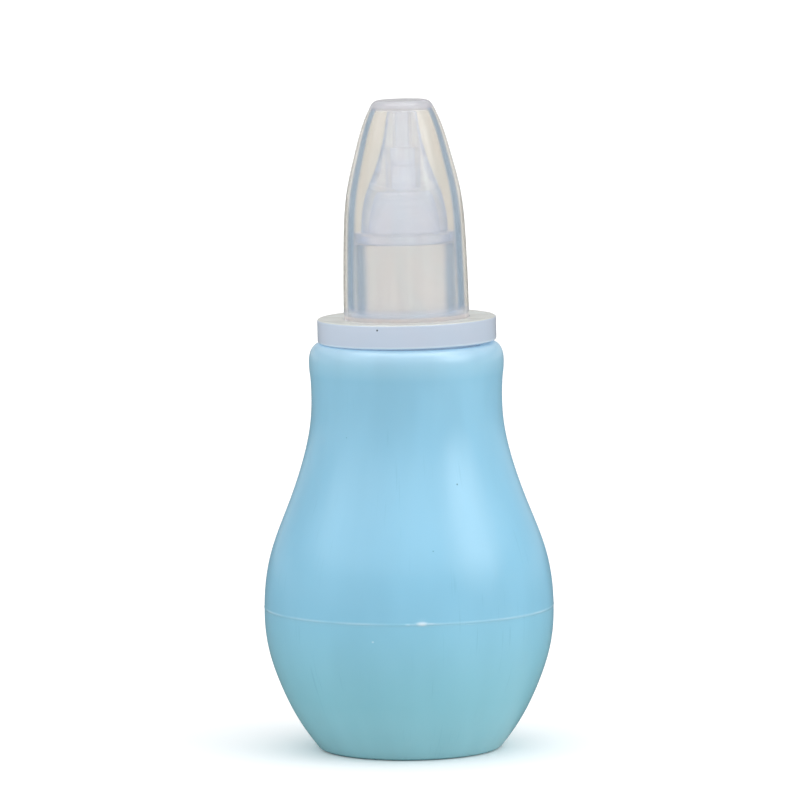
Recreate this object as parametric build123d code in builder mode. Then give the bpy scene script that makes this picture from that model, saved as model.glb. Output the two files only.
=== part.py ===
from build123d import *
import os

# Squeeze-bulb nasal aspirator for babies, standing upright on the flat foot of its bulb.
# Every piece is turned about +Z. The origin is the middle of the foot, on the surface
# that the aspirator stands on. Millimetres.

# --- driving dimensions: soft bulb -------------------------------------------------
BULB_R = 25.0            # widest radius, at the seam
BEAD_R = 25.15           # line of flash left standing round the seam
BEAD_H = 0.5
SEAM_Z = 24.5            # height of the bonded seam between the two moulded halves
FOOT_R = 15.6            # radius where the side wall meets the foot
FOOT_INNER_R = 11.6      # the foot is a flat ring outside this radius
FOOT_RECESS = 0.8        # how far the middle of the underside is pushed up
FOOT_FILLET = 1.5
BULB_WALL = 2.2          # wall, measured along the radius
BULB_FLOOR = 2.6         # inside height of the bulb's floor
FLOOR_R = 14.6           # inside radius of the floor
NECK_R = 16.45           # narrowest outside radius of the neck
RIM_R = 16.8             # outside radius of the rim
RIM_Z = 70.0             # top of the rim
RIM_FILLET = 1.6
LIP_R = 12.7             # hole through the rim's inward lip
LIP_Z = 66.2             # underside of the lip
LIP_FILLET = 0.3
TONGUE = 1.2             # height of the tongue that centres one half in the other
TONGUE_WALL = 1.05
BOND_GAP = 0.05          # room for the adhesive round the tongue

# --- driving dimensions: collar and collection chamber ------------------------------
FIT = 0.05               # radial clearance of a push fit
PLUG_BOTTOM_Z = 61.0
PLUG_TIP_R = 12.3
BARB_R = 13.6            # snap barb under the bulb's lip
BARB_LAND = 0.8
PLUG_BORE_R = 11.2
SEAT_R = 13.4            # step that rests on the rim when the plug is pushed right in
SEAT_Z = 70.2            # it stands a little above the rim, held there by the plug
PLUG_FIT = 0.08          # radial clearance of the plug in the bulb's soft lip
BARB_DROP = 0.3          # room between the barb and the lip above it
FLANGE_R = 15.4          # finger flange
FLANGE_BOTTOM_Z = 70.75
FLANGE_TOP_Z = 74.45
FLANGE_ROUND = 0.35
BOSS_R = 9.3             # ring that the protective cap pushes over
BOSS_H = 1.1
CHAMBER_R = 8.7
CHAMBER_BORE_R = 7.1
CHAMBER_TOP_Z = 87.9
SPIGOT_R = 8.0           # thinner top of the chamber, inside the tip's skirt
SPIGOT_BORE_R = 7.4
SPIGOT_H = 1.5
CHAMBER_FLOOR_Z = 74.6
FLOOR_THICKNESS = 1.4
AIR_HOLE_R = 3.9
AIR_DAM_R = 4.7          # low dam round the air hole, which keeps liquid in the chamber
AIR_DAM_H = 0.9

# --- driving dimensions: soft tip and the core inside it ----------------------------
SKIRT_R = 8.65
SKIRT_TOP_Z = 89.8
BELL_R = 7.5
TIP_R = 2.5
TIP_Z = 110.3
TIP_ROUND = 0.5
BORE_ROUND = 0.25
SKIRT_ROUND = 0.35
TIP_BORE_R = 1.15
SOCKET_R = 2.15          # socket for the core's spout
SOCKET_BOTTOM_Z = 96.6
SOCKET_TOP_Z = 104.0
BELL_WALL = 1.2
BELL_CAVITY_MID = (5.95, 92.8)
BELL_CAVITY_TOP_R = 4.7
SPOUT_TOP_Z = 100.4
SPOUT_BORE_R = 0.7
DISH_R = 0.9             # radius and depth of the spout's dished top
DISH_RIM = 0.25
CORE_ROOF_Z = 95.2       # top of the hollow under the core's dome
CORE_ROOF_R = 3.2
CORE_HOLLOW_MID = (4.85, 92.0)
CORE_WALL = 1.0
CORE_GAP = 0.12          # all round, between the core and the soft bell over it

# --- driving dimensions: protective cap ---------------------------------------------
CAP_R = 10.8
CAP_TOP_Z = 112.3
CAP_TOP_R = 4.85         # radius where the side would meet the flat crown
CROWN_ROUND = 1.6
ROOF_ROUND = 0.6
CAP_WALL = 1.45          # measured along the radius
CAP_TOP_WALL = 1.7
CAP_SEAT_GAP = 0.05      # the cap stands just above the flange

# Radius and height of the points that the curved walls pass through.
LOWER_WALL = [(FOOT_R, 0), (19.25, 5.1), (22.75, 12.4), (BULB_R, SEAM_Z - BEAD_H)]
UPPER_WALL = [
    (BULB_R, SEAM_Z),
    (23.75, 34.2),
    (20.65, 42.6),
    (18.15, 49.9),
    (16.75, 56.2),
    (NECK_R, 61.4),
    (16.62, 64.9),
    (RIM_R, 67.4),
]
BELL_WALL_POINTS = [(BELL_R, SKIRT_TOP_Z), (6.5, 96.3), (4.95, 100.2), (3.7, 104.0), (TIP_R, TIP_Z)]
CAP_SIDE = [
    (CAP_R, FLANGE_TOP_Z + CAP_SEAT_GAP),
    (10.5, 88.4),
    (9.76, 96.7),
    (8.3, 102.9),
    (5.86, 110.3),
    (CAP_TOP_R, CAP_TOP_Z),
]


def inside(points, wall):
    """The same curve, one wall nearer to the axis."""
    return [(radius - wall, height) for radius, height in points]


def corner(profile, level, side):
    """One corner of a profile: level -1 is the highest row, side -1 the farthest from the axis."""
    return profile.vertices().group_by(Axis.Y)[level].sort_by(Axis.X)[side]


def save(piece, name):
    """Labels a finished piece and writes it as one STEP file."""
    piece.part.label = name
    export_step(piece.part, f"parts/{name}.step")
    print(f"{name}: {piece.part.volume:.0f} mm3, {len(piece.part.solids())} solid")


os.makedirs("parts", exist_ok=True)

# Lower half of the bulb: flat ring foot, pushed-up middle, and a tongue at the seam.
tongue_inner_r = BULB_R - BULB_WALL
tongue_outer_r = tongue_inner_r + TONGUE_WALL
lower_inside = inside(LOWER_WALL, BULB_WALL)
with BuildPart() as bulb_lower_half:
    with BuildSketch(Plane.XZ) as lower_profile:
        with BuildLine():
            Polyline(
                (0, FOOT_RECESS),
                (FOOT_INNER_R - 2 * FOOT_RECESS, FOOT_RECESS),
                (FOOT_INNER_R, 0),
                (FOOT_R, 0),
            )
            Spline(*LOWER_WALL, tangents=[(0.8, 1), (0, 1)])
            Polyline(
                LOWER_WALL[3],
                (BEAD_R, SEAM_Z - BEAD_H / 2),
                (BEAD_R, SEAM_Z),
                (tongue_outer_r, SEAM_Z),
                (tongue_outer_r, SEAM_Z + TONGUE),
                (tongue_inner_r, SEAM_Z + TONGUE),
                lower_inside[3],
            )
            Spline(
                lower_inside[3],
                lower_inside[2],
                lower_inside[1],
                (FLOOR_R, BULB_FLOOR),
                tangents=[(0, -1), (-1, -0.75)],
            )
            Polyline((FLOOR_R, BULB_FLOOR), (0, BULB_FLOOR), (0, FOOT_RECESS))
        make_face()
        fillet(corner(lower_profile, 0, -1), FOOT_FILLET)
    revolve(axis=Axis.Z)
save(bulb_lower_half, "bulb_lower_half")

# Upper half of the bulb: shoulder, neck and a thick rim with an inward snap lip.
upper_inside = inside(UPPER_WALL, BULB_WALL)
neck_inner_r = RIM_R - BULB_WALL
rebate_r = tongue_outer_r + BOND_GAP
rebate_z = SEAM_Z + TONGUE + BOND_GAP
with BuildPart() as bulb_upper_half:
    with BuildSketch(Plane.XZ) as upper_profile:
        with BuildLine():
            Spline(*UPPER_WALL, tangents=[(0, 1), (0, 1)])
            Polyline(UPPER_WALL[-1], (RIM_R, RIM_Z), (LIP_R, RIM_Z), (LIP_R, LIP_Z), (neck_inner_r, LIP_Z))
            Spline(
                (neck_inner_r, LIP_Z),
                *reversed(upper_inside[1:-1]),
                (tongue_inner_r, rebate_z),
                tangents=[(0, -1), (0, -1)],
            )
            Polyline((tongue_inner_r, rebate_z), (rebate_r, rebate_z), (rebate_r, SEAM_Z), (BULB_R, SEAM_Z))
        make_face()
        fillet(corner(upper_profile, -1, -1), RIM_FILLET)
        fillet(corner(upper_profile, -1, 0), LIP_FILLET)
    revolve(axis=Axis.Z)
save(bulb_upper_half, "bulb_upper_half")

# Collar: hollow snap plug, finger flange and the collection chamber, moulded as one.
plug_r = LIP_R - PLUG_FIT
barb_z = LIP_Z - BARB_DROP
with BuildPart() as chamber_collar:
    with BuildSketch(Plane.XZ) as collar_profile:
        with BuildLine():
            Polyline(
                (PLUG_BORE_R, PLUG_BOTTOM_Z),
                (PLUG_TIP_R, PLUG_BOTTOM_Z),
                (BARB_R, barb_z - BARB_LAND),
                (BARB_R, barb_z),
                (plug_r, barb_z),
                (plug_r, SEAT_Z),
                (SEAT_R, SEAT_Z),
                (SEAT_R, FLANGE_BOTTOM_Z),
                (FLANGE_R, FLANGE_BOTTOM_Z),
                (FLANGE_R, FLANGE_TOP_Z),
                (BOSS_R, FLANGE_TOP_Z),
                (BOSS_R, FLANGE_TOP_Z + BOSS_H),
                (CHAMBER_R, FLANGE_TOP_Z + BOSS_H),
                (CHAMBER_R, CHAMBER_TOP_Z),
                (SPIGOT_R, CHAMBER_TOP_Z),
                (SPIGOT_R, CHAMBER_TOP_Z + SPIGOT_H),
                (SPIGOT_BORE_R, CHAMBER_TOP_Z + SPIGOT_H),
                (SPIGOT_BORE_R, CHAMBER_TOP_Z),
                (CHAMBER_BORE_R, CHAMBER_TOP_Z),
                (CHAMBER_BORE_R, CHAMBER_FLOOR_Z),
                (AIR_DAM_R, CHAMBER_FLOOR_Z),
                (AIR_DAM_R, CHAMBER_FLOOR_Z + AIR_DAM_H),
                (AIR_HOLE_R, CHAMBER_FLOOR_Z + AIR_DAM_H),
                (AIR_HOLE_R, CHAMBER_FLOOR_Z - FLOOR_THICKNESS),
                (PLUG_BORE_R, CHAMBER_FLOOR_Z - FLOOR_THICKNESS),
                close=True,
            )
        make_face()
        fillet(collar_profile.vertices().group_by(Axis.X)[-1], FLANGE_ROUND)
    revolve(axis=Axis.Z)
save(chamber_collar, "chamber_collar")

# Soft tip: a bell over the core, with a skirt round the chamber's spigot and a bored nose.
bell_floor_z = CHAMBER_TOP_Z + SPIGOT_H + FIT
bell_inside_r = BELL_R - BELL_WALL
bell_cavity = [(bell_inside_r, bell_floor_z), BELL_CAVITY_MID, (BELL_CAVITY_TOP_R, SOCKET_BOTTOM_Z)]
with BuildPart() as nozzle_tip:
    with BuildSketch(Plane.XZ) as tip_profile:
        with BuildLine():
            Polyline(
                (SPIGOT_R + FIT, bell_floor_z),
                (SPIGOT_R + FIT, CHAMBER_TOP_Z + FIT),
                (SKIRT_R, CHAMBER_TOP_Z + FIT),
                (SKIRT_R, SKIRT_TOP_Z),
                (BELL_R, SKIRT_TOP_Z),
            )
            Spline(*BELL_WALL_POINTS, tangents=[(0, 1), (-0.14, 1)])
            Polyline(
                (TIP_R, TIP_Z),
                (TIP_BORE_R, TIP_Z),
                (TIP_BORE_R, SOCKET_TOP_Z),
                (SOCKET_R, SOCKET_TOP_Z),
                (SOCKET_R, SOCKET_BOTTOM_Z),
                bell_cavity[2],
            )
            Spline(*reversed(bell_cavity), tangents=[(0.5, -1), (0, -1)])
            Line(bell_cavity[0], (SPIGOT_R + FIT, bell_floor_z))
        make_face()
        fillet(corner(tip_profile, -1, -1), TIP_ROUND)
        fillet(corner(tip_profile, -1, 0), BORE_ROUND)
        fillet(tip_profile.vertices().group_by(Axis.X)[-1], SKIRT_ROUND)
    revolve(axis=Axis.Z)
save(nozzle_tip, "nozzle_tip")

# Core: a ring seated in the chamber's top, a dome under the bell, and a bored spout
# with a dished top, pressed into the tip's socket.
core_dome = [
    (bell_cavity[0][0] - CORE_GAP, bell_floor_z - FIT),
    (bell_cavity[1][0] - CORE_GAP, bell_cavity[1][1]),
    (bell_cavity[2][0] - CORE_GAP, SOCKET_BOTTOM_Z - CORE_GAP),
]
core_bore_r = bell_inside_r - CORE_GAP - CORE_WALL
core_hollow = [(core_bore_r, CHAMBER_TOP_Z + FIT), CORE_HOLLOW_MID, (CORE_ROOF_R, CORE_ROOF_Z)]
dish_r = SOCKET_R - DISH_RIM
with BuildPart() as backflow_core:
    with BuildSketch(Plane.XZ) as core_profile:
        with BuildLine():
            Polyline(
                core_hollow[0],
                (SPIGOT_BORE_R - FIT, CHAMBER_TOP_Z + FIT),
                (SPIGOT_BORE_R - FIT, core_dome[0][1]),
                core_dome[0],
            )
            Spline(*core_dome, tangents=[(0, 1), (-0.5, 1)])
            Polyline(
                core_dome[2],
                (SOCKET_R, core_dome[2][1]),
                (SOCKET_R, SPOUT_TOP_Z + DISH_R),
                (dish_r, SPOUT_TOP_Z + DISH_R),
            )
            TangentArc((dish_r, SPOUT_TOP_Z + DISH_R), (dish_r - DISH_R, SPOUT_TOP_Z), tangent=(0, -1))
            Polyline(
                (dish_r - DISH_R, SPOUT_TOP_Z),
                (SPOUT_BORE_R, SPOUT_TOP_Z),
                (SPOUT_BORE_R, CORE_ROOF_Z),
                core_hollow[2],
            )
            Spline(*reversed(core_hollow), tangents=[(0.7, -1), (0, -1)])
        make_face()
    revolve(axis=Axis.Z)
save(backflow_core, "backflow_core")

# Protective cap: a clear ogive with a thick flat crown, open at the bottom.
cap_inside = inside(CAP_SIDE[:-1], CAP_WALL)
roof_z = CAP_TOP_Z - CAP_TOP_WALL
roof_r = cap_inside[-1][0]
with BuildPart() as protective_cap:
    with BuildSketch(Plane.XZ) as cap_profile:
        with BuildLine():
            Spline(*CAP_SIDE, tangents=[(-0.01, 1), (-0.48, 1)])
            Polyline(
                (CAP_TOP_R, CAP_TOP_Z),
                (0, CAP_TOP_Z),
                (0, roof_z),
                (roof_r, roof_z),
            )
            Spline((roof_r, roof_z), *reversed(cap_inside[:-1]), tangents=[(0.4, -1), (0.01, -1)])
            Line(cap_inside[0], CAP_SIDE[0])
        make_face()
        fillet(corner(cap_profile, -1, -1), CROWN_ROUND)
        fillet(corner(cap_profile, -2, -1), ROOF_ROUND)
    revolve(axis=Axis.Z)
save(protective_cap, "protective_cap")
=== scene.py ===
import math

import bmesh
import bpy
from mathutils import Matrix, Vector, noise


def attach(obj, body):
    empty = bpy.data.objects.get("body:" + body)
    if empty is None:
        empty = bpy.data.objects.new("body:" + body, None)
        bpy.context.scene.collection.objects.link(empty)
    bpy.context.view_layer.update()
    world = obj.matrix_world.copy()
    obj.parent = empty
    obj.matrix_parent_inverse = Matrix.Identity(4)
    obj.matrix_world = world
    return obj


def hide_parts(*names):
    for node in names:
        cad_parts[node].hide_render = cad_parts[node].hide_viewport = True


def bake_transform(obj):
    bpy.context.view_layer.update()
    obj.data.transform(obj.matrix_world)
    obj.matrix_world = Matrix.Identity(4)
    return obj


# A hand-squeezed nasal aspirator: soft blue bulb, clear collar and chamber, soft clear tip
# with its core, and a clear protective cap. Everything is turned about +Z. Metres.

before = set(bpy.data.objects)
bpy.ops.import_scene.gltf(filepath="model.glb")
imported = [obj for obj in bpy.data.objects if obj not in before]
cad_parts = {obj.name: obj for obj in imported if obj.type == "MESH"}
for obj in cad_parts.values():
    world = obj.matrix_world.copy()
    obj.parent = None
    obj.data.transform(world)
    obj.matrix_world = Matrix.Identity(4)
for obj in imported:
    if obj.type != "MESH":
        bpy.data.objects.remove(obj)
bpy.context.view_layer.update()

MM = 0.001

# Outlines and meshes
ROUND_STEPS = 176                       # segments round the axis of every turned piece
CORNER_ANGLE = math.radians(24)         # an outline that turns by more than this has a corner there
CURVE_STEP = 0.9 * MM                   # spacing of the points along smooth stretches of an outline
CURVE_BEND = math.radians(14)           # and the most that the outline turns from one to the next
EDGE_BREAK = 0.12 * MM                  # rounding of the moulded corners
BULB_EDGE_BREAK = 0.03 * MM             # and of the bulb's sharper ones
GRAIN_RADIUS = 0.02                     # the cylinder on which textures are laid out round the axis

# The bulb, with its flash line at the seam and its plump rim
BULB_RADIUS = 25 * MM
BULB_SIDE = 24.9 * MM                   # beyond this radius the seam's flash line replaces the CAD's bead
SEAM_Z = 24.5 * MM
RIDGE_Z = 24.84 * MM                    # the top of the flash line's soft ridge
RIDGE_RISE = 0.05 * MM
RIDGE_WIDTH = 0.17 * MM
RIDGE_BOTTOM = 23.9 * MM                # where the ridge's points begin, on the lower half
RIDGE_TOP = 25.4 * MM                   # and end, on the upper half
BEAD_TOP = 25.45 * MM                   # the CAD's own points are dropped up to here
RIM_INSIDE = 14.6 * MM                  # the CAD's points outside this radius
RIM_BOTTOM = 67.0 * MM                  # and above this height are the rim's
RIM_CREST = [(13.7, 70.06), (14.2, 70.28)]      # radius and height in mm, from the rim's inner edge
RIM_CENTRE = (14.7, 67.2)               # then a quarter of a squarish oval about this point, in mm
RIM_REACH = (2.1, 3.25)
RIM_SQUARENESS = 0.88
RIM_STEPS = 12
FLASH_DROPS = [                         # degrees right of front, half width, height, half height
    (4.9, 0.95, 24.92, 0.34, 0.12, 0.62),       # and rise in mm, and paleness
    (7.9, 1.20, 24.88, 0.20, 0.02, 0.27),
    (-0.6, 0.42, 24.80, 0.17, 0.05, 0.22),
]
FLASH_GAP = -4.5                        # degrees right of front, where the flash is hardly pale
FLASH_GAP_WIDTH = 3.5
FLASH_ANGLES = range(-6, 86)            # the finer steps round the drops, in eighths of a degree
FLASH_ANGLE_OFFSET = 0.06               # degrees, which keeps them off the even steps
FLASH_RADIUS = 24 * MM                  # there is no flash nearer the axis than this
BULB_SPECKS = [                         # degrees right of front, height in mm, radius in mm and colour
    (26.5, 47.7, 0.16, (0.06, 0.20, 0.30)),
    (-14.5, 21.8, 0.18, (0.40, 0.63, 0.76)),
    (10.5, 37.0, 0.12, (0.12, 0.33, 0.46)),
    (-38.0, 55.5, 0.11, (0.12, 0.33, 0.46)),
]
TINT_TOP = 0.072                        # height of the last of the tints
# The bulb's colour by height: sky blue above the seam and greener below it, with painted light. It is
# lighter at the very bottom, to lift the contact shadow at the foot, slightly paler from two thirds up as
# painted gloss, and paler still on the rim as a painted highlight of the rim lit from above.
BULB_TINTS_AND_PAINTED_LIGHT = [                          # share of that height, and the colour there, with painted light at both ends
    (0.0, (0.330, 0.610, 0.700)),
    (0.06, (0.275, 0.555, 0.655)),
    (0.14, (0.243, 0.525, 0.635)),
    (0.20, (0.240, 0.522, 0.645)),
    (0.338, (0.240, 0.522, 0.690)),
    (0.350, (0.237, 0.514, 0.692)),
    (0.55, (0.236, 0.508, 0.692)),
    (0.80, (0.252, 0.514, 0.692)),
    (0.905, (0.258, 0.518, 0.694)),
    (0.935, (0.303, 0.548, 0.708)),
    (0.965, (0.340, 0.552, 0.706)),
    (1.0, (0.385, 0.560, 0.705)),
]
SCRATCH_COLOUR = (0.14, 0.36, 0.50)
FLASH_COLOUR = (0.80, 0.84, 0.90)

# The collar and what it carries
FLANGE_EDGE_RADIUS = 15.0 * MM          # the CAD's points outside this radius
FLANGE_EDGE_Z = 74.0 * MM               # and above this height are the flange's top edge
SEAT_RADIUS = 10.87 * MM                # the cap sits in a shallow seat in the flange
LIP_RISE = 0.42 * MM                    # and the flange stands this much higher outside it
COLLAR_LEAN = math.radians(0.72)        # the collar sits slightly askew in the soft rim: it leans left
COLLAR_PIVOT_Z = 70.2 * MM              # about this height
COLLAR_SHIFT = 0.17 * MM                # and sits this much to the right
COLLAR_DROP = 0.05 * MM                 # and this much lower
FLECK_PLACE = (-5.05 * MM, -14.55 * MM, 74.05 * MM)     # a dark fleck on the flange's edge
FLECK_RADIUS = 0.17 * MM
FLECK_COLOUR = (0.02, 0.03, 0.04)

# Floor and sky
FLOOR_SEEN = (1.0, 1.0, 1.0)            # the floor as the camera sees it
FLOOR_BOUNCE = (0.84, 0.84, 0.79)       # as it lights the object
FLOOR_GLOSS = (0.12, 0.12, 0.11)        # as the object's gloss mirrors it
FLOOR_PAINTED_SHEEN = (0.52, 0.52, 0.50)        # the same on its right, painted lighter there as a sheen for the gloss to mirror
FLOOR_THROUGH = (0.56, 0.55, 0.495)     # and as it shows through the clear plastic
SKY_SEEN = (1.0, 1.0, 1.0)
SKY_BOUNCE = (0.85, 0.85, 0.85)
SKY_THROUGH = (0.70, 0.68, 0.60)
SKY_WINDOWS = [                         # left and right edge in degrees right of front, and strength
    (45, 84, 2.5),
    (-92, -58, 0.7),
]


# ---------------------------------------------------------------- outlines from the CAD

def half_section(node):
    """The outline of a turned CAD node in the half-plane y = 0, x > 0.

    Returns its (radius, height) points in order, and True if the outline closes on itself.
    An outline that doesn't close starts and ends on the axis.
    """
    bm = bmesh.new()
    bm.from_mesh(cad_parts[node].data)
    bmesh.ops.remove_doubles(bm, verts=bm.verts, dist=1e-7)
    everything = bm.verts[:] + bm.edges[:] + bm.faces[:]
    cut = bmesh.ops.bisect_plane(
        bm, geom=everything, dist=1e-8, plane_co=(0, 0, 0), plane_no=(0, 1, 0)
    )
    joined = {}
    for part in cut["geom_cut"]:
        if isinstance(part, bmesh.types.BMEdge) and all(v.co.x > -1e-7 for v in part.verts):
            a, b = part.verts
            joined.setdefault(a, []).append(b)
            joined.setdefault(b, []).append(a)
    ends = [v for v, others in joined.items() if len(others) == 1]
    here = min(ends, key=lambda v: v.co.z) if ends else min(joined, key=lambda v: (v.co.z, v.co.x))
    walk = [here]
    seen = {here}
    while True:
        onward = [v for v in joined[walk[-1]] if v not in seen]
        if not onward:
            break
        walk.append(onward[0])
        seen.add(onward[0])
    points = [Vector((v.co.x, v.co.z)) for v in walk]
    bm.free()
    if ends:
        points[0].x = points[-1].x = 0.0
    return without_straight_points(points, not ends), not ends


def turn(before, here, after):
    """The angle by which an outline turns at a point, positive to the left."""
    return (here - before).angle_signed(after - here, 0.0)


def without_straight_points(points, closed):
    """Drops the points that lie on a straight run of the outline."""
    kept = []
    count = len(points)
    for i, point in enumerate(points):
        if not closed and i in (0, count - 1):
            kept.append(point)
            continue
        if abs(turn(points[i - 1], point, points[(i + 1) % count])) > 1e-3:
            kept.append(point)
    return kept


def curve_between(a, b, c, d, t):
    """A Catmull-Rom curve from b to c, for t from 0 to 1, with knots spaced by distance."""
    t0 = 0.0
    t1 = t0 + max((b - a).length, 1e-9) ** 0.5
    t2 = t1 + max((c - b).length, 1e-9) ** 0.5
    t3 = t2 + max((d - c).length, 1e-9) ** 0.5
    u = t1 + (t2 - t1) * t
    ab = a.lerp(b, (u - t0) / (t1 - t0))
    bc = b.lerp(c, (u - t1) / (t2 - t1))
    cd = c.lerp(d, (u - t2) / (t3 - t2))
    abc = ab.lerp(bc, (u - t0) / (t2 - t0))
    bcd = bc.lerp(cd, (u - t1) / (t3 - t1))
    return abc.lerp(bcd, (u - t1) / (t2 - t1))


def smooth_run(points):
    """One stretch of an outline between two corners, resampled as a smooth curve."""
    if len(points) < 3:
        length = (points[-1] - points[0]).length
        steps = max(1, round(length / (3 * CURVE_STEP)))
        return [points[0].lerp(points[-1], i / steps) for i in range(steps + 1)]
    padded = [points[0] * 2 - points[1], *points, points[-1] * 2 - points[-2]]
    fine = [points[0]]
    for a, b, c, d in zip(padded, padded[1:], padded[2:], padded[3:]):
        bend = abs(turn(a, b, c)) + abs(turn(b, c, d))
        steps = max(1, math.ceil((c - b).length / CURVE_STEP), math.ceil(bend / CURVE_BEND))
        fine += [curve_between(a, b, c, d, i / steps) for i in range(1, steps + 1)]
    return fine


def broken_corner(before, corner, after, size):
    """Three points that round a corner off."""
    size = min(size, (before - corner).length * 0.4, (after - corner).length * 0.4)
    start = corner + (before - corner).normalized() * size
    end = corner + (after - corner).normalized() * size
    middle = (start + end + corner * 2) / 4
    return [start, middle, end]


def smooth_outline(points, closed, edge=EDGE_BREAK):
    """An outline with smooth curves between its corners, and its corners slightly rounded."""
    count = len(points)
    corners = [
        i
        for i in range(count)
        if (not closed and i in (0, count - 1))
        or abs(turn(points[i - 1], points[i], points[(i + 1) % count])) > CORNER_ANGLE
    ]
    runs = []
    for k, start in enumerate(corners):
        if k == len(corners) - 1:
            if not closed:
                break
            stretch = points[start:] + points[: corners[0] + 1]
        else:
            stretch = points[start : corners[k + 1] + 1]
        runs.append(smooth_run(stretch))
    result = []
    for k, run in enumerate(runs):
        previous = runs[k - 1]
        if k == 0 and not closed:
            result.append(run[0])
        else:
            result += broken_corner(previous[-2], run[0], run[1], edge)
        result += run[1:-1]
    if not closed:
        result.append(runs[-1][-1])
    return result


# ---------------------------------------------------------------- turned meshes

def flash_at(place):
    """The moulding flash at a point: how far a drop stands off the surface, and how pale it is."""
    if place.xy.length < FLASH_RADIUS:
        return 0.0, 0.0
    azimuth = math.degrees(math.atan2(place.x, -place.y))
    ridge = math.exp(-(((place.z - RIDGE_Z) / RIDGE_WIDTH) ** 2))
    a = math.radians(azimuth)
    patchy = noise.noise(Vector((math.sin(a), math.cos(a), 0)) * 5)
    gap = math.exp(-(((azimuth - FLASH_GAP) / FLASH_GAP_WIDTH) ** 2))
    stronger = 1 / (1 + math.exp(-azimuth / 4))     # towards the right
    pale = ridge * max(0.0, 0.10 + 0.03 * stronger + 0.22 * patchy) * (1 - 0.6 * gap)
    height = 0.0
    for centre, half_width, top, half_height, rise, paleness in FLASH_DROPS:
        across = (azimuth - centre) / math.degrees(half_width * MM / BULB_RADIUS)
        along = (place.z - top * MM) / (half_height * MM)
        drop = math.exp(-((across**2 + along**2) ** 1.4))
        height = max(height, rise * MM * drop)
        pale = max(pale, paleness * drop)
    return height, pale


def ring_angles():
    """The angles of the points round the bulb: even ones, and finer ones where the drops are."""
    even = [math.tau * i / ROUND_STEPS for i in range(ROUND_STEPS)]
    front = math.radians(270)
    fine = [front + math.radians(d / 8 + FLASH_ANGLE_OFFSET) for d in FLASH_ANGLES]
    return sorted(even + fine)


def lathe(name, outline, closed, angles=None):
    """A closed mesh turned about +Z from an outline of (radius, height) points.

    It stores each point's place at rest, that place laid out on a cylinder for the textures, and
    how far the surface faces away from the axis there, from -1 to 1.
    """
    angles = angles or [math.tau * i / ROUND_STEPS for i in range(ROUND_STEPS)]
    steps = len(angles)
    bm = bmesh.new()
    rings = []
    for radius, height in outline:
        if radius < 1e-7:
            rings.append([bm.verts.new((0, 0, height))])
            continue
        ring = [(radius * math.cos(a), radius * math.sin(a), height) for a in angles]
        rings.append([bm.verts.new(place) for place in ring])
    pairs = list(zip(rings, rings[1:]))
    if closed:
        pairs.append((rings[-1], rings[0]))
    for first, second in pairs:
        for i in range(steps):
            j = (i + 1) % steps
            if len(first) == 1:
                bm.faces.new((first[0], second[j], second[i]))
            elif len(second) == 1:
                bm.faces.new((first[i], first[j], second[0]))
            else:
                bm.faces.new((first[i], first[j], second[j], second[i]))
    bmesh.ops.recalc_face_normals(bm, faces=bm.faces)
    mesh = bpy.data.meshes.new(name)
    for face in bm.faces:
        face.smooth = True
    bm.to_mesh(mesh)
    bm.free()
    places = [v.co.copy() for v in mesh.vertices]
    unrolled = [(*(p.xy.normalized() * GRAIN_RADIUS), p.z) for p in places]
    outward = mesh.attributes.new("outward", "FLOAT", "POINT")
    facing = [v.normal.xy.dot(v.co.xy.normalized()) for v in mesh.vertices]
    outward.data.foreach_set("value", facing)
    for label, values in (("rest", places), ("grain", unrolled)):
        layer = mesh.attributes.new(label, "FLOAT_VECTOR", "POINT")
        layer.data.foreach_set("vector", [c for value in values for c in value])
    piece = bpy.data.objects.new(name, mesh)
    bpy.context.collection.objects.link(piece)
    return piece


def outline_of(node):
    """The visible outline of one of the clear pieces."""
    if node == "chamber_collar":
        return collar_outline()
    points, closed = half_section(node)
    return smooth_outline(points, closed), closed


def add_flash(piece):
    """Raises the flash drops on a half of the bulb, and stores how pale the flash is."""
    mesh = piece.data
    pale = mesh.attributes.new("pale", "FLOAT", "POINT")
    for i, vertex in enumerate(mesh.vertices):
        height, amount = flash_at(vertex.co)
        pale.data[i].value = amount
        if height > 1e-7:
            vertex.co.xy *= 1 + height / vertex.co.xy.length


def flash_line(low, high, count):
    """Points up the side of the bulb over the flash line, which stands out as a soft ridge."""
    line = []
    for i in range(count + 1):
        height = low + (high - low) * i / count
        rise = RIDGE_RISE * math.exp(-(((height - RIDGE_Z) / RIDGE_WIDTH) ** 2))
        line.append(Vector((BULB_RADIUS + rise, height)))
    return line


def lower_outline():
    """The lower half's outline, up to the seam."""
    points, closed = half_section("bulb_lower_half")
    outline = smooth_outline(points, closed, BULB_EDGE_BREAK)
    bead = [p for p in outline if p.x > BULB_SIDE and p.y > RIDGE_BOTTOM]
    at = outline.index(bead[0])
    return outline[:at] + flash_line(RIDGE_BOTTOM, SEAM_Z, 9) + outline[at + len(bead) :], closed


def plump_rim():
    """The rounded top and outside of the bulb's rim."""
    rim = [Vector(point) * MM for point in RIM_CREST]
    for i in range(RIM_STEPS + 1):
        turned = math.radians(90 - 90 / RIM_STEPS * i)
        across = max(0.0, math.cos(turned)) ** RIM_SQUARENESS
        up = max(0.0, math.sin(turned)) ** RIM_SQUARENESS
        radius = RIM_CENTRE[0] + RIM_REACH[0] * across
        height = RIM_CENTRE[1] + RIM_REACH[1] * up
        rim.append(Vector((radius, height)) * MM)
    return rim


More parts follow.
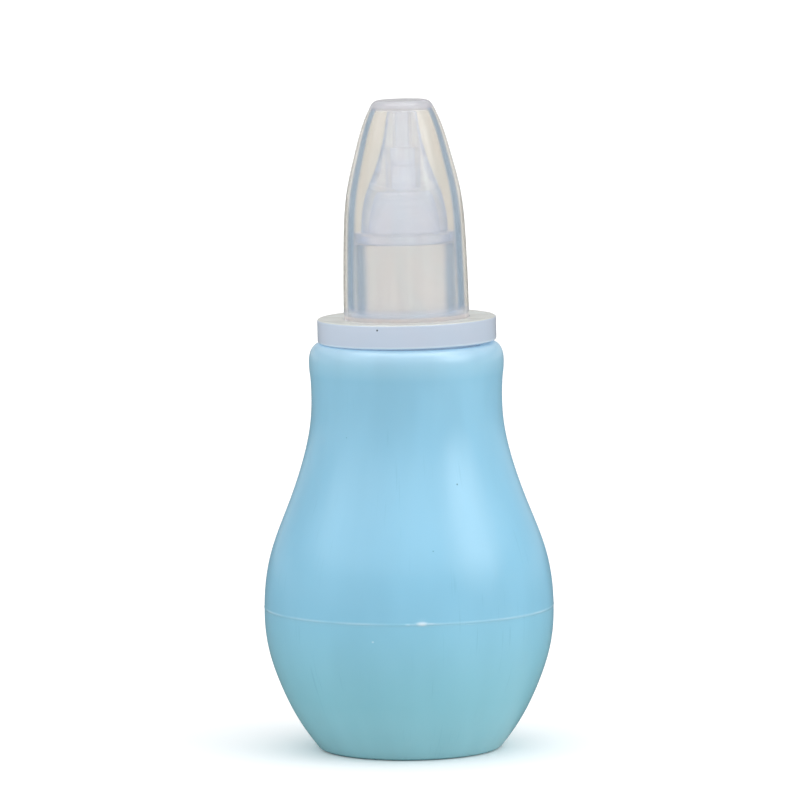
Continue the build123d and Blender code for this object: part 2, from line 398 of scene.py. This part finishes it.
def upper_outline():
    """The upper half's outline, with a plump rim, and the flash line at its lower edge."""
    points, closed = half_section("bulb_upper_half")
    rim = [p for p in points if p.x > RIM_INSIDE and p.y > RIM_BOTTOM]
    at = points.index(rim[0])
    points = points[:at] + plump_rim() + points[at + len(rim) :]
    outline = smooth_outline(points, closed, BULB_EDGE_BREAK)
    low = [p for p in outline if p.x > BULB_SIDE and p.y < BEAD_TOP]
    at = outline.index(low[0])
    return outline[:at] + flash_line(RIDGE_TOP, SEAM_Z, 14) + outline[at + len(low) :], closed


def collar_outline():
    """The collar's outline, its flange standing up a little round the seat of the cap."""
    points, closed = half_section("chamber_collar")
    rim = [p for p in points if p.x > FLANGE_EDGE_RADIUS and p.y > FLANGE_EDGE_Z]
    at = points.index(rim[0])
    step = [Vector((SEAT_RADIUS, rim[0].y)), Vector((SEAT_RADIUS, rim[0].y + LIP_RISE))]
    lip = [Vector((p.x, p.y + LIP_RISE)) for p in rim]
    return smooth_outline(points[:at] + step + lip + points[at + len(rim) :], closed), closed


# ---------------------------------------------------------------- materials

def new_material(name):
    """A node material with a plain Principled shader. Returns the material and the shader."""
    material = bpy.data.materials.new(name)
    material.use_nodes = True
    return material, material.node_tree.nodes["Principled BSDF"]


def add_node(material, kind, settings=None, **sockets):
    """Adds a node, sets its properties, and sets or links its input sockets by name.

    Here and below, material is a material or the world: anything with a node tree.
    """
    made = material.node_tree.nodes.new(kind)
    for key, value in (settings or {}).items():
        setattr(made, key, value)
    for key, value in sockets.items():
        connect(material, made.inputs[key.replace("_", " ")], value)
    return made


def connect(material, socket, value):
    """Links a socket to another node's output, or sets it to a plain value."""
    if isinstance(value, bpy.types.NodeSocket):
        material.node_tree.links.new(value, socket)
    else:
        socket.default_value = value


def stored(material, label):
    """A vector stored on the mesh at rest, so that textures stay with the piece as it moves.

    "rest" is the place at rest, and "grain" is the place laid out on a cylinder round the axis.
    """
    return add_node(material, "ShaderNodeAttribute", {"attribute_name": label}).outputs["Vector"]


def rest_height(material):
    """The height of a point of the surface on the piece at rest."""
    return add_node(material, "ShaderNodeSeparateXYZ", Vector=stored(material, "rest")).outputs["Z"]


def cloud(material, place, size, stretch=1.0, detail=2.0):
    """Soft noise around 0.5 with features this size across, drawn out along Z by stretch."""
    scale = (1 / size, 1 / size, 1 / (size * stretch))
    squeezed = add_node(material, "ShaderNodeMapping", Vector=place, Scale=scale).outputs["Vector"]
    noisy = add_node(material, "ShaderNodeTexNoise", Vector=squeezed, Scale=1.0, Detail=detail)
    return noisy.outputs["Fac"]


def ramp(material, value, low, high, at_low=0.0, at_high=1.0):
    """A smooth step from at_low to at_high as the value goes from low to high."""
    return add_node(
        material,
        "ShaderNodeMapRange",
        {"interpolation_type": "SMOOTHSTEP"},
        Value=value,
        From_Min=low,
        From_Max=high,
        To_Min=at_low,
        To_Max=at_high,
    ).outputs["Result"]


def math_node(material, operation, a, b):
    """A two-input Math node."""
    made = add_node(material, "ShaderNodeMath", {"operation": operation})
    connect(material, made.inputs[0], a)
    connect(material, made.inputs[1], b)
    return made.outputs[0]


def mix_colour(material, factor, a, b, blend="MIX"):
    """Mixes two colours, each a socket or plain numbers."""
    made = add_node(material, "ShaderNodeMix", {"data_type": "RGBA", "blend_type": blend})
    connect(material, made.inputs[0], factor)
    connect(material, made.inputs[6], a if isinstance(a, bpy.types.NodeSocket) else (*a, 1))
    connect(material, made.inputs[7], b if isinstance(b, bpy.types.NodeSocket) else (*b, 1))
    return made.outputs[2]


def dot(material, colour, where, place, radius, spot_colour):
    """A colour with a small soft-edged dot of another on it, where the vector nears the place."""
    away = add_node(material, "ShaderNodeVectorMath", {"operation": "DISTANCE"})
    connect(material, away.inputs[0], where)
    connect(material, away.inputs[1], place)
    spot = ramp(material, away.outputs["Value"], radius * 0.6, radius * 1.2, 1.0, 0.0)
    return mix_colour(material, spot, colour, spot_colour)


def soft_blue_pvc():
    """Satin PVC, sky blue above the seam and greener below it, faintly rubbed and scratched; its colour
    by height also holds a painted highlight on the rim and painted light at the foot.
    """
    material, shader = new_material("soft_blue_pvc")
    grain = stored(material, "grain")
    share = add_node(
        material, "ShaderNodeMapRange", Value=rest_height(material), From_Min=0.0, From_Max=TINT_TOP
    ).outputs["Result"]
    # This ramp carries painted light: lighter at the foot against the contact shadow, paler on the rim as
    # a painted highlight.
    tint = add_node(material, "ShaderNodeValToRGB", Fac=share)
    stops = tint.color_ramp.elements
    for stop, (position, colour) in zip(stops, (BULB_TINTS_AND_PAINTED_LIGHT[0], BULB_TINTS_AND_PAINTED_LIGHT[-1])):
        stop.position = position
        stop.color = (*colour, 1)
    for position, colour in BULB_TINTS_AND_PAINTED_LIGHT[1:-1]:
        stops.new(position).color = (*colour, 1)
    mottle = ramp(material, cloud(material, grain, 0.009, 3.0), 0.30, 0.70, 0.97, 1.03)
    colour = mix_colour(material, 1.0, tint.outputs["Color"], mottle, "MULTIPLY")
    scratches = ramp(material, cloud(material, grain, 0.00030, 30, 0.0), 0.70, 0.80)
    rubbed = ramp(material, cloud(material, grain, 0.008, 1.5), 0.50, 0.66)
    marks = math_node(material, "MULTIPLY", scratches, rubbed)
    colour = mix_colour(material, math_node(material, "MULTIPLY", marks, 0.2), colour, SCRATCH_COLOUR)
    for azimuth, height, radius, speck_colour in BULB_SPECKS:
        a = math.radians(azimuth)
        place = (GRAIN_RADIUS * math.sin(a), -GRAIN_RADIUS * math.cos(a), height * MM)
        colour = dot(material, colour, grain, place, radius * MM, speck_colour)
    pale = add_node(material, "ShaderNodeAttribute", {"attribute_name": "pale"}).outputs["Fac"]
    colour = mix_colour(material, pale, colour, FLASH_COLOUR)
    connect(material, shader.inputs["Base Color"], colour)
    polish = ramp(material, cloud(material, grain, 0.005, 4.0, 3.0), 0.30, 0.70, 0.19, 0.26)
    connect(material, shader.inputs["Roughness"], polish)
    ripple = cloud(material, grain, 0.0030, 1.6, 4.0)
    bump = add_node(material, "ShaderNodeBump", Height=ripple, Strength=0.10, Distance=0.00015)
    connect(material, shader.inputs["Normal"], bump.outputs["Normal"])
    shader.inputs["IOR"].default_value = 1.45
    shader.inputs["Subsurface Weight"].default_value = 0.2
    shader.inputs["Subsurface Radius"].default_value = (0.6, 0.9, 1.0)
    shader.inputs["Subsurface Scale"].default_value = 0.0012
    return material


def clear_plastic(
    name,
    face,
    edge,
    bands,
    haze,
    blur,
    ior=1.49,
    gloss=0.5,
    inside=False,
    milky_and_painted_light=(),
    fleck=None,
):
    """Slightly milky clear plastic.

    face and edge are its tints seen square on and seen along the wall. The edge tint is partly the
    plastic's deeper tint along the wall and partly a painted reflection of blue surroundings in the
    walls. bands are the four Layer Weight values between which the first tint turns into the second
    and back, or two values and 1, 1 if it doesn't turn back. That is on the outer walls only, or on
    the inner ones too with inside. haze is the share of light that it scatters, square on and along
    the wall. blur is the roughness and gloss the specular level. Each entry of the list of zones is
    (start, end, haze, tint): from the height start to the height end, the plastic grows milkier and
    takes that tint, which on the collar is partly painted light. fleck is the place of a dark fleck.
    """
    material, shader = new_material(name)
    grain = stored(material, "grain")
    facing = add_node(material, "ShaderNodeLayerWeight", Blend=0.5).outputs["Facing"]
    turns_back = bands[2] < 1
    along = ramp(material, facing, bands[0], bands[1])
    if turns_back:
        back = ramp(material, facing, bands[2], bands[3], 1.0, 0.0)
        along = math_node(material, "MULTIPLY", along, back)
    outward = add_node(material, "ShaderNodeAttribute", {"attribute_name": "outward"}).outputs["Fac"]
    if inside:
        outward = math_node(material, "ABSOLUTE", outward, 0.0)
    along = math_node(material, "MULTIPLY", along, ramp(material, outward, 0.3, 0.8))
    flow = cloud(material, grain, 0.0012, 20, 2.0)
    streaks = ramp(material, flow, 0.30, 0.70, 0.98, 1.01)
    # Where the wall is seen along, the tint turns to edge: partly the plastic's deeper tint there, partly
    # a painted reflection of blue surroundings.
    tint = mix_colour(material, along, face, edge)
    tint = mix_colour(material, 1.0, tint, streaks, "MULTIPLY")
    clear = ramp(material, along, 0.0, 1.0, 1 - haze[0], 1 - haze[1])
    if turns_back:
        rim = ramp(material, facing, bands[2], bands[3])
        rim = math_node(material, "MULTIPLY", rim, outward)
        clear = math_node(material, "MULTIPLY", clear, ramp(material, rim, 0.0, 1.0, 1.0, 0.72))
    # Each zone grows milkier; on the collar its tints also paint light: a warm reflection on the flange's
    # top, the blue bulb seen through its front, and light lifting the shade under it.
    for start, end, most, zone_tint in milky_and_painted_light:
        in_zone = ramp(material, rest_height(material), start, end)
        kept = math_node(material, "MULTIPLY_ADD", in_zone, -most)
        kept.node.inputs[2].default_value = 1.0
        clear = math_node(material, "MULTIPLY", clear, kept)
        tint = mix_colour(material, in_zone, tint, zone_tint)
    patches = ramp(material, cloud(material, grain, 0.007), 0.35, 0.65)
    patches = mix_colour(material, patches, (0.99, 1.0, 1.004), (1.006, 0.997, 0.997))
    tint = mix_colour(material, 1.0, tint, patches, "MULTIPLY")
    if fleck:
        tint = dot(material, tint, stored(material, "rest"), fleck, FLECK_RADIUS, FLECK_COLOUR)
    connect(material, shader.inputs["Base Color"], tint)
    connect(material, shader.inputs["Transmission Weight"], clear)
    polish = ramp(material, cloud(material, grain, 0.004, 2.0, 3.0), 0.30, 0.70, blur * 0.85, blur * 1.15)
    connect(material, shader.inputs["Roughness"], polish)
    bump = add_node(material, "ShaderNodeBump", Height=flow, Strength=0.06, Distance=0.0001)
    connect(material, shader.inputs["Normal"], bump.outputs["Normal"])
    shader.inputs["IOR"].default_value = ior
    shader.inputs["Specular IOR Level"].default_value = gloss
    return material


# ---------------------------------------------------------------- the pieces

blue = soft_blue_pvc()
# On each clear plastic below, edge is partly the plastic's deeper tint seen along the wall and partly a
# painted reflection of blue surroundings in its walls.
cap_plastic = clear_plastic(
    "clear_cap_plastic",
    face=(0.96, 0.94, 0.92),
    edge=(0.29, 0.46, 0.74),
    bands=(0.38, 0.48, 0.58, 0.70),
    haze=(0.07, 0.10),
    blur=0.10,
    gloss=0.3,
    milky_and_painted_light=[
        (110.2 * MM, 111.4 * MM, 0.6, (0.685, 0.685, 0.735)),
        (77.3 * MM, 75.9 * MM, 0.22, (0.85, 0.88, 0.94)),
        (75.65 * MM, 75.35 * MM, 0.22, (0.88, 0.83, 0.835)),
    ],
)
collar_plastic = clear_plastic(
    "clear_collar_plastic",
    face=(0.975, 0.98, 0.985),
    edge=(0.30, 0.48, 0.72),
    bands=(0.28, 0.50, 1.0, 1.0),
    haze=(0.40, 0.42),
    blur=0.19,
    gloss=0.25,
    milky_and_painted_light=[
        # Lighter and yellowish on the flange's top: milkier there, with a painted reflection of warm
        # overhead light.
        (76.0 * MM, 74.9 * MM, 0.45, (0.84, 0.84, 0.76)),
        # Blue-lavender on the flange's front: the blue bulb seen through it, painted into the tint.
        (74.83 * MM, 74.65 * MM, 0.30, (0.645, 0.725, 0.855)),
        # Lighter underneath the flange: painted light that lifts the shade in the gap over the rim.
        (71.3 * MM, 70.9 * MM, 0.35, (0.72, 0.82, 0.92)),
    ],
    fleck=FLECK_PLACE,
)
tip_rubber = clear_plastic(
    "soft_clear_tip",
    face=(0.89, 0.925, 0.99),
    edge=(0.34, 0.52, 0.84),
    bands=(0.30, 0.80, 1.0, 1.0),
    haze=(0.22, 0.30),
    blur=0.06,
    ior=1.41,
    gloss=0.3,
    inside=True,
)
core_plastic = clear_plastic(
    "clear_core_plastic",
    face=(0.94, 0.95, 0.98),
    edge=(0.40, 0.56, 0.80),
    bands=(0.40, 0.80, 1.0, 1.0),
    haze=(0.22, 0.30),
    blur=0.05,
    inside=True,
)

lower_bulb = lathe("bulb_lower", *lower_outline(), ring_angles())
add_flash(lower_bulb)
lower_bulb.data.materials.append(blue)
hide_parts("bulb_lower_half")
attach(lower_bulb, "lower_bulb")

upper_bulb = lathe("bulb_upper", *upper_outline(), ring_angles())
add_flash(upper_bulb)
upper_bulb.data.materials.append(blue)
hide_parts("bulb_upper_half")
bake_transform(upper_bulb)

askew = (
    Matrix.Translation((COLLAR_SHIFT, 0, COLLAR_PIVOT_Z - COLLAR_DROP))
    @ Matrix.Rotation(-COLLAR_LEAN, 4, "Y")
    @ Matrix.Translation((0, 0, -COLLAR_PIVOT_Z))
)
for name, node, body, slot, plastic in (
    ("collar_and_chamber", "chamber_collar", "collar", "clear_collar_plastic", collar_plastic),
    ("soft_tip", "nozzle_tip", "nozzle", "soft_clear_tip", tip_rubber),
    ("tip_core", "backflow_core", "nozzle", "clear_core_plastic", core_plastic),
    ("dust_cap", "protective_cap", "cap", "clear_cap_plastic", cap_plastic),
):
    outline, closed = outline_of(node)
    piece = lathe(name, outline, closed)
    piece.data.transform(askew)
    piece.data.materials.append(plastic)
    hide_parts(node)
    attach(piece, body)
    piece.visible_shadow = False


# ---------------------------------------------------------------- floor, light and camera

def by_ray(material, seen, bounced, mirrored, through):
    """A colour that differs for the camera, diffuse light, gloss and light through plastic."""
    kind = add_node(material, "ShaderNodeLightPath").outputs
    colour = mix_colour(material, kind["Is Glossy Ray"], bounced, mirrored)
    colour = mix_colour(material, kind["Is Transmission Ray"], colour, through)
    return mix_colour(material, kind["Is Camera Ray"], colour, seen)


def azimuth_of(material, axes):
    """The angle round the upright axis of a separated vector: 0 in front, growing to the right."""
    toward_front = math_node(material, "MULTIPLY", axes["Y"], -1.0)
    return math_node(material, "ARCTAN2", axes["X"], toward_front)


def floor():
    """A wide pale floor just under the foot, with a painted sheen on its right that only the object's
    gloss mirrors.
    """
    bm = bmesh.new()
    bmesh.ops.create_circle(bm, cap_ends=True, segments=128, radius=6.0)
    mesh = bpy.data.meshes.new("floor")
    bm.to_mesh(mesh)
    bm.free()
    piece = bpy.data.objects.new("floor", mesh)
    piece.location.z = -0.02 * MM
    bpy.context.collection.objects.link(piece)
    material, shader = new_material("pale_floor")
    place = add_node(material, "ShaderNodeTexCoord").outputs["Object"]
    azimuth = azimuth_of(material, add_node(material, "ShaderNodeSeparateXYZ", Vector=place).outputs)
    # A painted pool of light on the floor's right, seen only in the object's gloss.
    painted_sheen = ramp(material, azimuth, math.radians(15), math.radians(40))
    fading = ramp(material, azimuth, math.radians(85), math.radians(110), 1.0, 0.0)
    painted_sheen = math_node(material, "MULTIPLY", painted_sheen, fading)
    gloss = mix_colour(material, painted_sheen, FLOOR_GLOSS, FLOOR_PAINTED_SHEEN)
    colour = by_ray(material, FLOOR_SEEN, FLOOR_BOUNCE, gloss, FLOOR_THROUGH)
    connect(material, shader.inputs["Base Color"], colour)
    shader.inputs["Roughness"].default_value = 0.9
    shader.inputs["Specular IOR Level"].default_value = 0.0
    mesh.materials.append(material)
    return piece


def soft_light(name, azimuth, elevation, spread, strength, lit=None):
    """A distant soft box, spread degrees across. Azimuth 0 is in front, and 90 is to the right.

    lit is the collection of what it lights, if it doesn't light everything.
    """
    lamp = bpy.data.lights.new(name, "SUN")
    lamp.angle = math.radians(spread)
    lamp.energy = strength
    piece = bpy.data.objects.new(name, lamp)
    a = math.radians(azimuth)
    e = math.radians(elevation)
    away = Vector((math.sin(a) * math.cos(e), -math.cos(a) * math.cos(e), math.sin(e)))
    piece.location = away
    piece.rotation_euler = away.to_track_quat("Z", "Y").to_euler()
    bpy.context.collection.objects.link(piece)
    if lit:
        piece.light_linking.receiver_collection = lit


def camera():
    """A long lens in front of the object, a little above it and slightly rolled."""
    distance = 1.2
    elevation = math.radians(6.2)
    roll = math.radians(0.65)
    view_width = 0.1379
    target = Vector((-0.00117, 0, 0.06043))
    data = bpy.data.cameras.new("camera")
    data.sensor_width = 36
    data.lens = data.sensor_width * distance / view_width
    data.clip_start = 0.05
    data.clip_end = 50
    piece = bpy.data.objects.new("camera", data)
    away = Vector((0, -math.cos(elevation), math.sin(elevation)))
    aim = away.to_track_quat("Z", "Y").to_matrix() @ Matrix.Rotation(-roll, 3, "Z")
    piece.matrix_world = Matrix.Translation(target + away * distance) @ aim.to_4x4()
    bpy.context.collection.objects.link(piece)
    bpy.context.scene.camera = piece


def sky():
    """Even pale surroundings. Gloss mirrors a bright ceiling, two side windows and a dim back."""
    world = bpy.data.worlds.new("studio")
    world.use_nodes = True
    bpy.context.scene.world = world
    toward = add_node(world, "ShaderNodeTexCoord").outputs["Generated"]
    axes = add_node(world, "ShaderNodeSeparateXYZ", Vector=toward).outputs
    azimuth = azimuth_of(world, axes)
    elevation = math_node(world, "ARCSINE", axes["Z"], 0.0)
    to_back = ramp(world, axes["Y"], -0.2, 0.7)
    glow = ramp(world, elevation, math.radians(12), math.radians(28), 0.48, 1.9)
    ceiling = ramp(world, elevation, math.radians(44), math.radians(68), 0.0, 3.0)
    glow = math_node(world, "ADD", glow, ceiling)
    for left, right, strength in SKY_WINDOWS:
        window = math_node(
            world,
            "MULTIPLY",
            ramp(world, azimuth, math.radians(left), math.radians(left + 5), 0.0, strength),
            ramp(world, azimuth, math.radians(right - 12), math.radians(right), 1.0, 0.0),
        )
        high = ramp(world, elevation, math.radians(8), math.radians(24))
        glow = math_node(world, "ADD", glow, math_node(world, "MULTIPLY", window, high))
    glow = math_node(world, "MULTIPLY", glow, ramp(world, to_back, 0.0, 1.0, 1.0, 0.5))
    low = ramp(world, elevation, math.radians(9), math.radians(13), 0.30, 0.0)
    horizon = math_node(world, "MULTIPLY", to_back, low)
    glow = math_node(world, "ADD", glow, horizon)
    mirrored = mix_colour(world, 1.0, (1, 1, 1), glow, "MULTIPLY")
    colour = by_ray(world, SKY_SEEN, SKY_BOUNCE, mirrored, SKY_THROUGH)
    connect(world, world.node_tree.nodes["Background"].inputs["Color"], colour)


opaque = bpy.data.collections.new("opaque")
for piece in (lower_bulb, upper_bulb, floor()):
    opaque.objects.link(piece)
soft_light("key_right", 64, 30, 50, 0.66, opaque)
soft_light("fill_left", -62, 25, 50, 0.18, opaque)
soft_light("top", 0, 78, 90, 0.80)
camera()
sky()

scene = bpy.context.scene
scene.view_settings.view_transform = "Standard"
scene.cycles.max_bounces = 32
scene.cycles.transmission_bounces = 32
scene.cycles.glossy_bounces = 12
scene.cycles.diffuse_bounces = 6
